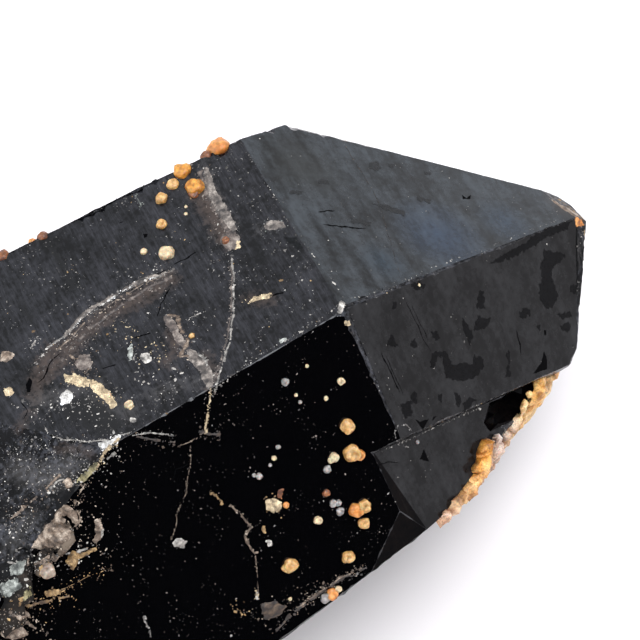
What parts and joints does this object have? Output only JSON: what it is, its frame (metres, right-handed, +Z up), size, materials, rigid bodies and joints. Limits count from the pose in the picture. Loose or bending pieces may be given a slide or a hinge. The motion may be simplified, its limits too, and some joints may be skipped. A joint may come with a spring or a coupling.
{
  "type": "morion quartz point",
  "caption": "Black smoky quartz crystal lying on a prism face, with a tip, a side crystal, a broken root, small beads and an ochre crust.",
  "frame": {"origin": "middle of the underside of the bounding box, on the prism face that the crystal lies on", "axes": "+X along the crystal's c axis toward the tip, -Y to the front as seen in the picture, +Z up"},
  "size_m": [0.078, 0.0552, 0.0446],
  "materials": {
    "black_quartz": "natural crystal faces, glossy black, finely striated and etched",
    "ochre_iron_crust": "lumpy iron-stained crust, orange-brown"
  },
  "bodies": {
    "root": {"quartz_crystal": "black_quartz", "ochre_crust": "ochre_iron_crust"}
  },
  "joints": []
}
